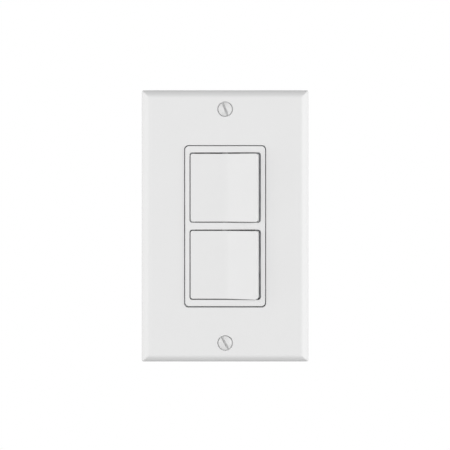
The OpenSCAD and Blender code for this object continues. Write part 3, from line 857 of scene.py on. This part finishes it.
def box_screws():
    """Round heads on the strap, with a thin neck where the fibre retainer sits."""
    root, seat, head_r, neck_r, tip = NO_6[0], -1.4, 3.7, 1.4, 19
    profile = domed(-3.1, 5.5, head_r - 0.1) + [(head_r, seat - 0.15), (head_r, seat), (neck_r, seat)]
    profile += [(neck_r, 0.35), (root, 0.5), (root, tip - 0.7), (1.0, tip), (0, tip)]
    blank = slotted(turned("blank", profile), -2.2)
    screws(
        "round_head_box_screws", "mounting_screws", "zinc_screw", blank,
        [(0, 0, BOX_SCREW_Z, 34), (0, 0, -BOX_SCREW_Z, -34)],
        NO_6, 0.6, 17.6, INTO_WALL,
    )


def terminal_screws():
    """Binding heads beside the housing: dark on the feed side, brass on the load side."""
    root, crest, _ = NO_8
    tip = 8.5
    profile = [(0, -1.9), (2.4, -1.86), (3.2, -1.72), (3.7, -1.4), (3.9, -1.0), (3.9, -0.2), (3.8, 0)]
    profile += [(2.9, 0), (2.7, -0.25), (crest, -0.25), (crest, 0.5), (root, 0.7)]
    profile += [(root, tip - 0.4), (1.35, tip), (0, tip)]
    for name, node, finish, sign, lean in (
        ("binding_head_feed_screws", "feed_screws", "black_screw", 1, (65, 115)),
        ("binding_head_load_screws", "load_screws", "brass_screw", -1, (50, 130)),
    ):
        blank = slotted(turned("blank", profile), -1.0)
        x, y = sign * TERMINAL_SCREW_X, TERMINAL_SCREW_Y
        screws(
            name, node, finish, blank,
            [(x, y, ROCKER_Z, lean[0]), (x, y, -ROCKER_Z, lean[1])],
            NO_8, 0.5, 7.6, Matrix.Rotation(math.radians(-90 * sign), 4, "Y"),
        )


def ground_screw():
    """A green washer-head hex screw in the strap's earth tab."""
    root, crest, _ = NO_10
    tip = 6.3
    washer = [(0, -0.6), (3.7, -0.6), (3.9, -0.4), (3.9, 0), (crest, 0), (root, 0.3)]
    washer += [(root, tip - 0.3), (1.5, tip), (0, tip)]
    hexagon = turned("hexagon", [(0, -2.4), (3.3, -2.4), (3.6, -2.2), (3.6, -0.5), (0, -0.5)], sides=6)
    blank = slotted(combine(turned("blank", washer), add=[hexagon]), -1.3)
    screws(
        "green_ground_screw", "ground_screw", "green_enamel", blank, [(*GROUND_SCREW_AT, 90)],
        NO_10, 0.2, 5.7, Matrix.Rotation(math.radians(90), 4, "Y"),
    )


def housing_screws():
    """Long thin screws from the back, with a cross recess."""
    root, crest, _ = HOUSING_THREAD
    seat, rise, tip, arm, arm_half = -22.5, 0.8, 4.4, 0.7, 0.17
    profile = domed(seat - rise, 1.8, 1.33) + [(1.35, seat), (crest, seat), (crest, -1.5), (root, -1.3)]
    blank = turned("blank", profile + [(root, tip - 0.2), (0.4, tip), (0, tip)], sides=32)
    arms = [block("arm", (-w, -h, -24), (w, h, -22.85)) for w, h in ((arm_half, arm), (arm, arm_half))]
    combine(blank, cut=arms)
    screws(
        "cross_head_housing_screws", "housing_screws", "zinc_screw", blank,
        [(x, 0, z, 20 + 1.3 * z) for x, z in SCREW_CORNERS],
        HOUSING_THREAD, -1.3, 5.4, OUT_OF_WALL,
    )


# Everything in its place ------------------------------------------------------------------------

# Each stamped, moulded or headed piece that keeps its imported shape: name, node, finish and eased edge
EASED = [
    ("pressed_mounting_strap", "mounting_strap", "zinc_steel", 0.12),
    ("fibre_screw_retainers", "screw_retainers", "fibre", 0.05),
    ("moulded_rear_housing", "rear_housing", "housing_plastic", 0.2),
    ("stamped_feed_terminal", "feed_terminal", "brass_strip", 0.08),
    ("stamped_upper_load_terminal", "upper_load_terminal", "brass_strip", 0.08),
    ("stamped_lower_load_terminal", "lower_load_terminal", "brass_strip", 0.08),
    ("riveted_fixed_contacts", "fixed_contacts", "silver_contact", 0.05),
    ("turned_upper_plunger", "upper_plunger", "plunger_acetal", 0.08),
    ("turned_lower_plunger", "lower_plunger", "plunger_acetal", 0.08),
    ("stamped_upper_contact_arm", "upper_contact_arm", "arm_copper", 0.08),
    ("stamped_lower_contact_arm", "lower_contact_arm", "arm_copper", 0.08),
    ("riveted_upper_moving_contact", "upper_moving_contact", "silver_contact", 0.05),
    ("riveted_lower_moving_contact", "lower_moving_contact", "silver_contact", 0.05),
]

wall_plate()
bezel()
for upper_or_lower in (1, -1):
    rocker(upper_or_lower)
    rocker_spring(upper_or_lower)
plate_screws()
box_screws()
terminal_screws()
ground_screw()
housing_screws()
for piece_name, node_name, slot_name, edge in EASED:
    hand_over(eased_copy(node_name, edge), piece_name, node_name, slot_name)


# Studio -----------------------------------------------------------------------------------------


def studio():
    """A white surround, brighter to the sides than above and below, three soft boxes and a pale floor."""
    scene = bpy.context.scene
    scene.view_settings.view_transform = "Standard"
    world = bpy.data.worlds.new("studio")
    world.use_nodes = True
    scene.world = world
    tree = world.node_tree
    tree.nodes.clear()
    way = add(tree, "ShaderNodeTexCoord").outputs["Generated"]
    parts = add(tree, "ShaderNodeSeparateXYZ", links={0: way}).outputs

    def maths(operation, *values):
        return add(tree, "ShaderNodeMath", {"operation": operation}, dict(enumerate(values))).outputs[0]

    leaning = maths("MULTIPLY_ADD", parts["X"], RIGHT_LEAN, EVEN_LIGHT)
    sides = maths("MULTIPLY_ADD", maths("MULTIPLY", parts["X"], parts["X"]), SIDE_LIGHT, leaning)
    ends = maths("MULTIPLY_ADD", maths("MULTIPLY", parts["Z"], parts["Z"]), -ENDS_DIM, sides)
    dimmed = {"From Min": -0.1, "From Max": 0.3, "To Min": 1.0, "To Max": 1.0 - BACK_DIM}
    behind = add(tree, "ShaderNodeMapRange", links={"Value": parts["Y"], **dimmed})
    shaped = maths("MAXIMUM", maths("MULTIPLY", ends, behind.outputs[0]), DARKEST)
    lighting, seen = (
        add(tree, "ShaderNodeBackground", links={"Strength": strength, "Color": (1, 1, 1, 1)})
        for strength in (shaped, 1.0)
    )
    camera_ray = add(tree, "ShaderNodeLightPath").outputs["Is Camera Ray"]
    mixed = add(
        tree, "ShaderNodeMixShader", links={0: camera_ray, 1: lighting.outputs[0], 2: seen.outputs[0]}
    )
    add(tree, "ShaderNodeOutputWorld", links={"Surface": mixed.outputs[0]})

    for name, x, y, power in SOFT_BOXES:
        light = bpy.data.lights.new(name, "AREA")
        light.shape, light.energy = "RECTANGLE", power
        light.size, light.size_y = SOFT_BOX_SIZE
        box = bpy.data.objects.new(name, light)
        scene.collection.objects.link(box)
        box.location = (x, y, SOFT_BOX_Z)
        box.rotation_euler = (Vector((0, 0, 0)) - box.location).to_track_quat("-Z", "Y").to_euler()
        box.visible_camera = False

    floor = block("floor", FLOOR_LO, FLOOR_HI)
    floor.data.transform(Matrix.Scale(MM, 4))
    floor.data.materials.append(MATERIALS["floor"])
    # The floor neither lights nor shades the object, so the light from below is like the light from above
    floor.visible_diffuse = floor.visible_glossy = floor.visible_shadow = False


def camera():
    """A level camera that looks straight at the wall, with a shift that keeps upright lines upright."""
    data = bpy.data.cameras.new("camera")
    data.lens, data.sensor_width = CAMERA_LENS, CAMERA_SENSOR
    data.shift_x, data.shift_y = CAMERA_SHIFT
    made = bpy.data.objects.new("camera", data)
    bpy.context.scene.collection.objects.link(made)
    made.location = Vector(CAMERA_AT) * MM
    made.rotation_euler = (math.radians(90), 0, 0)
    bpy.context.scene.camera = made


studio()
camera()
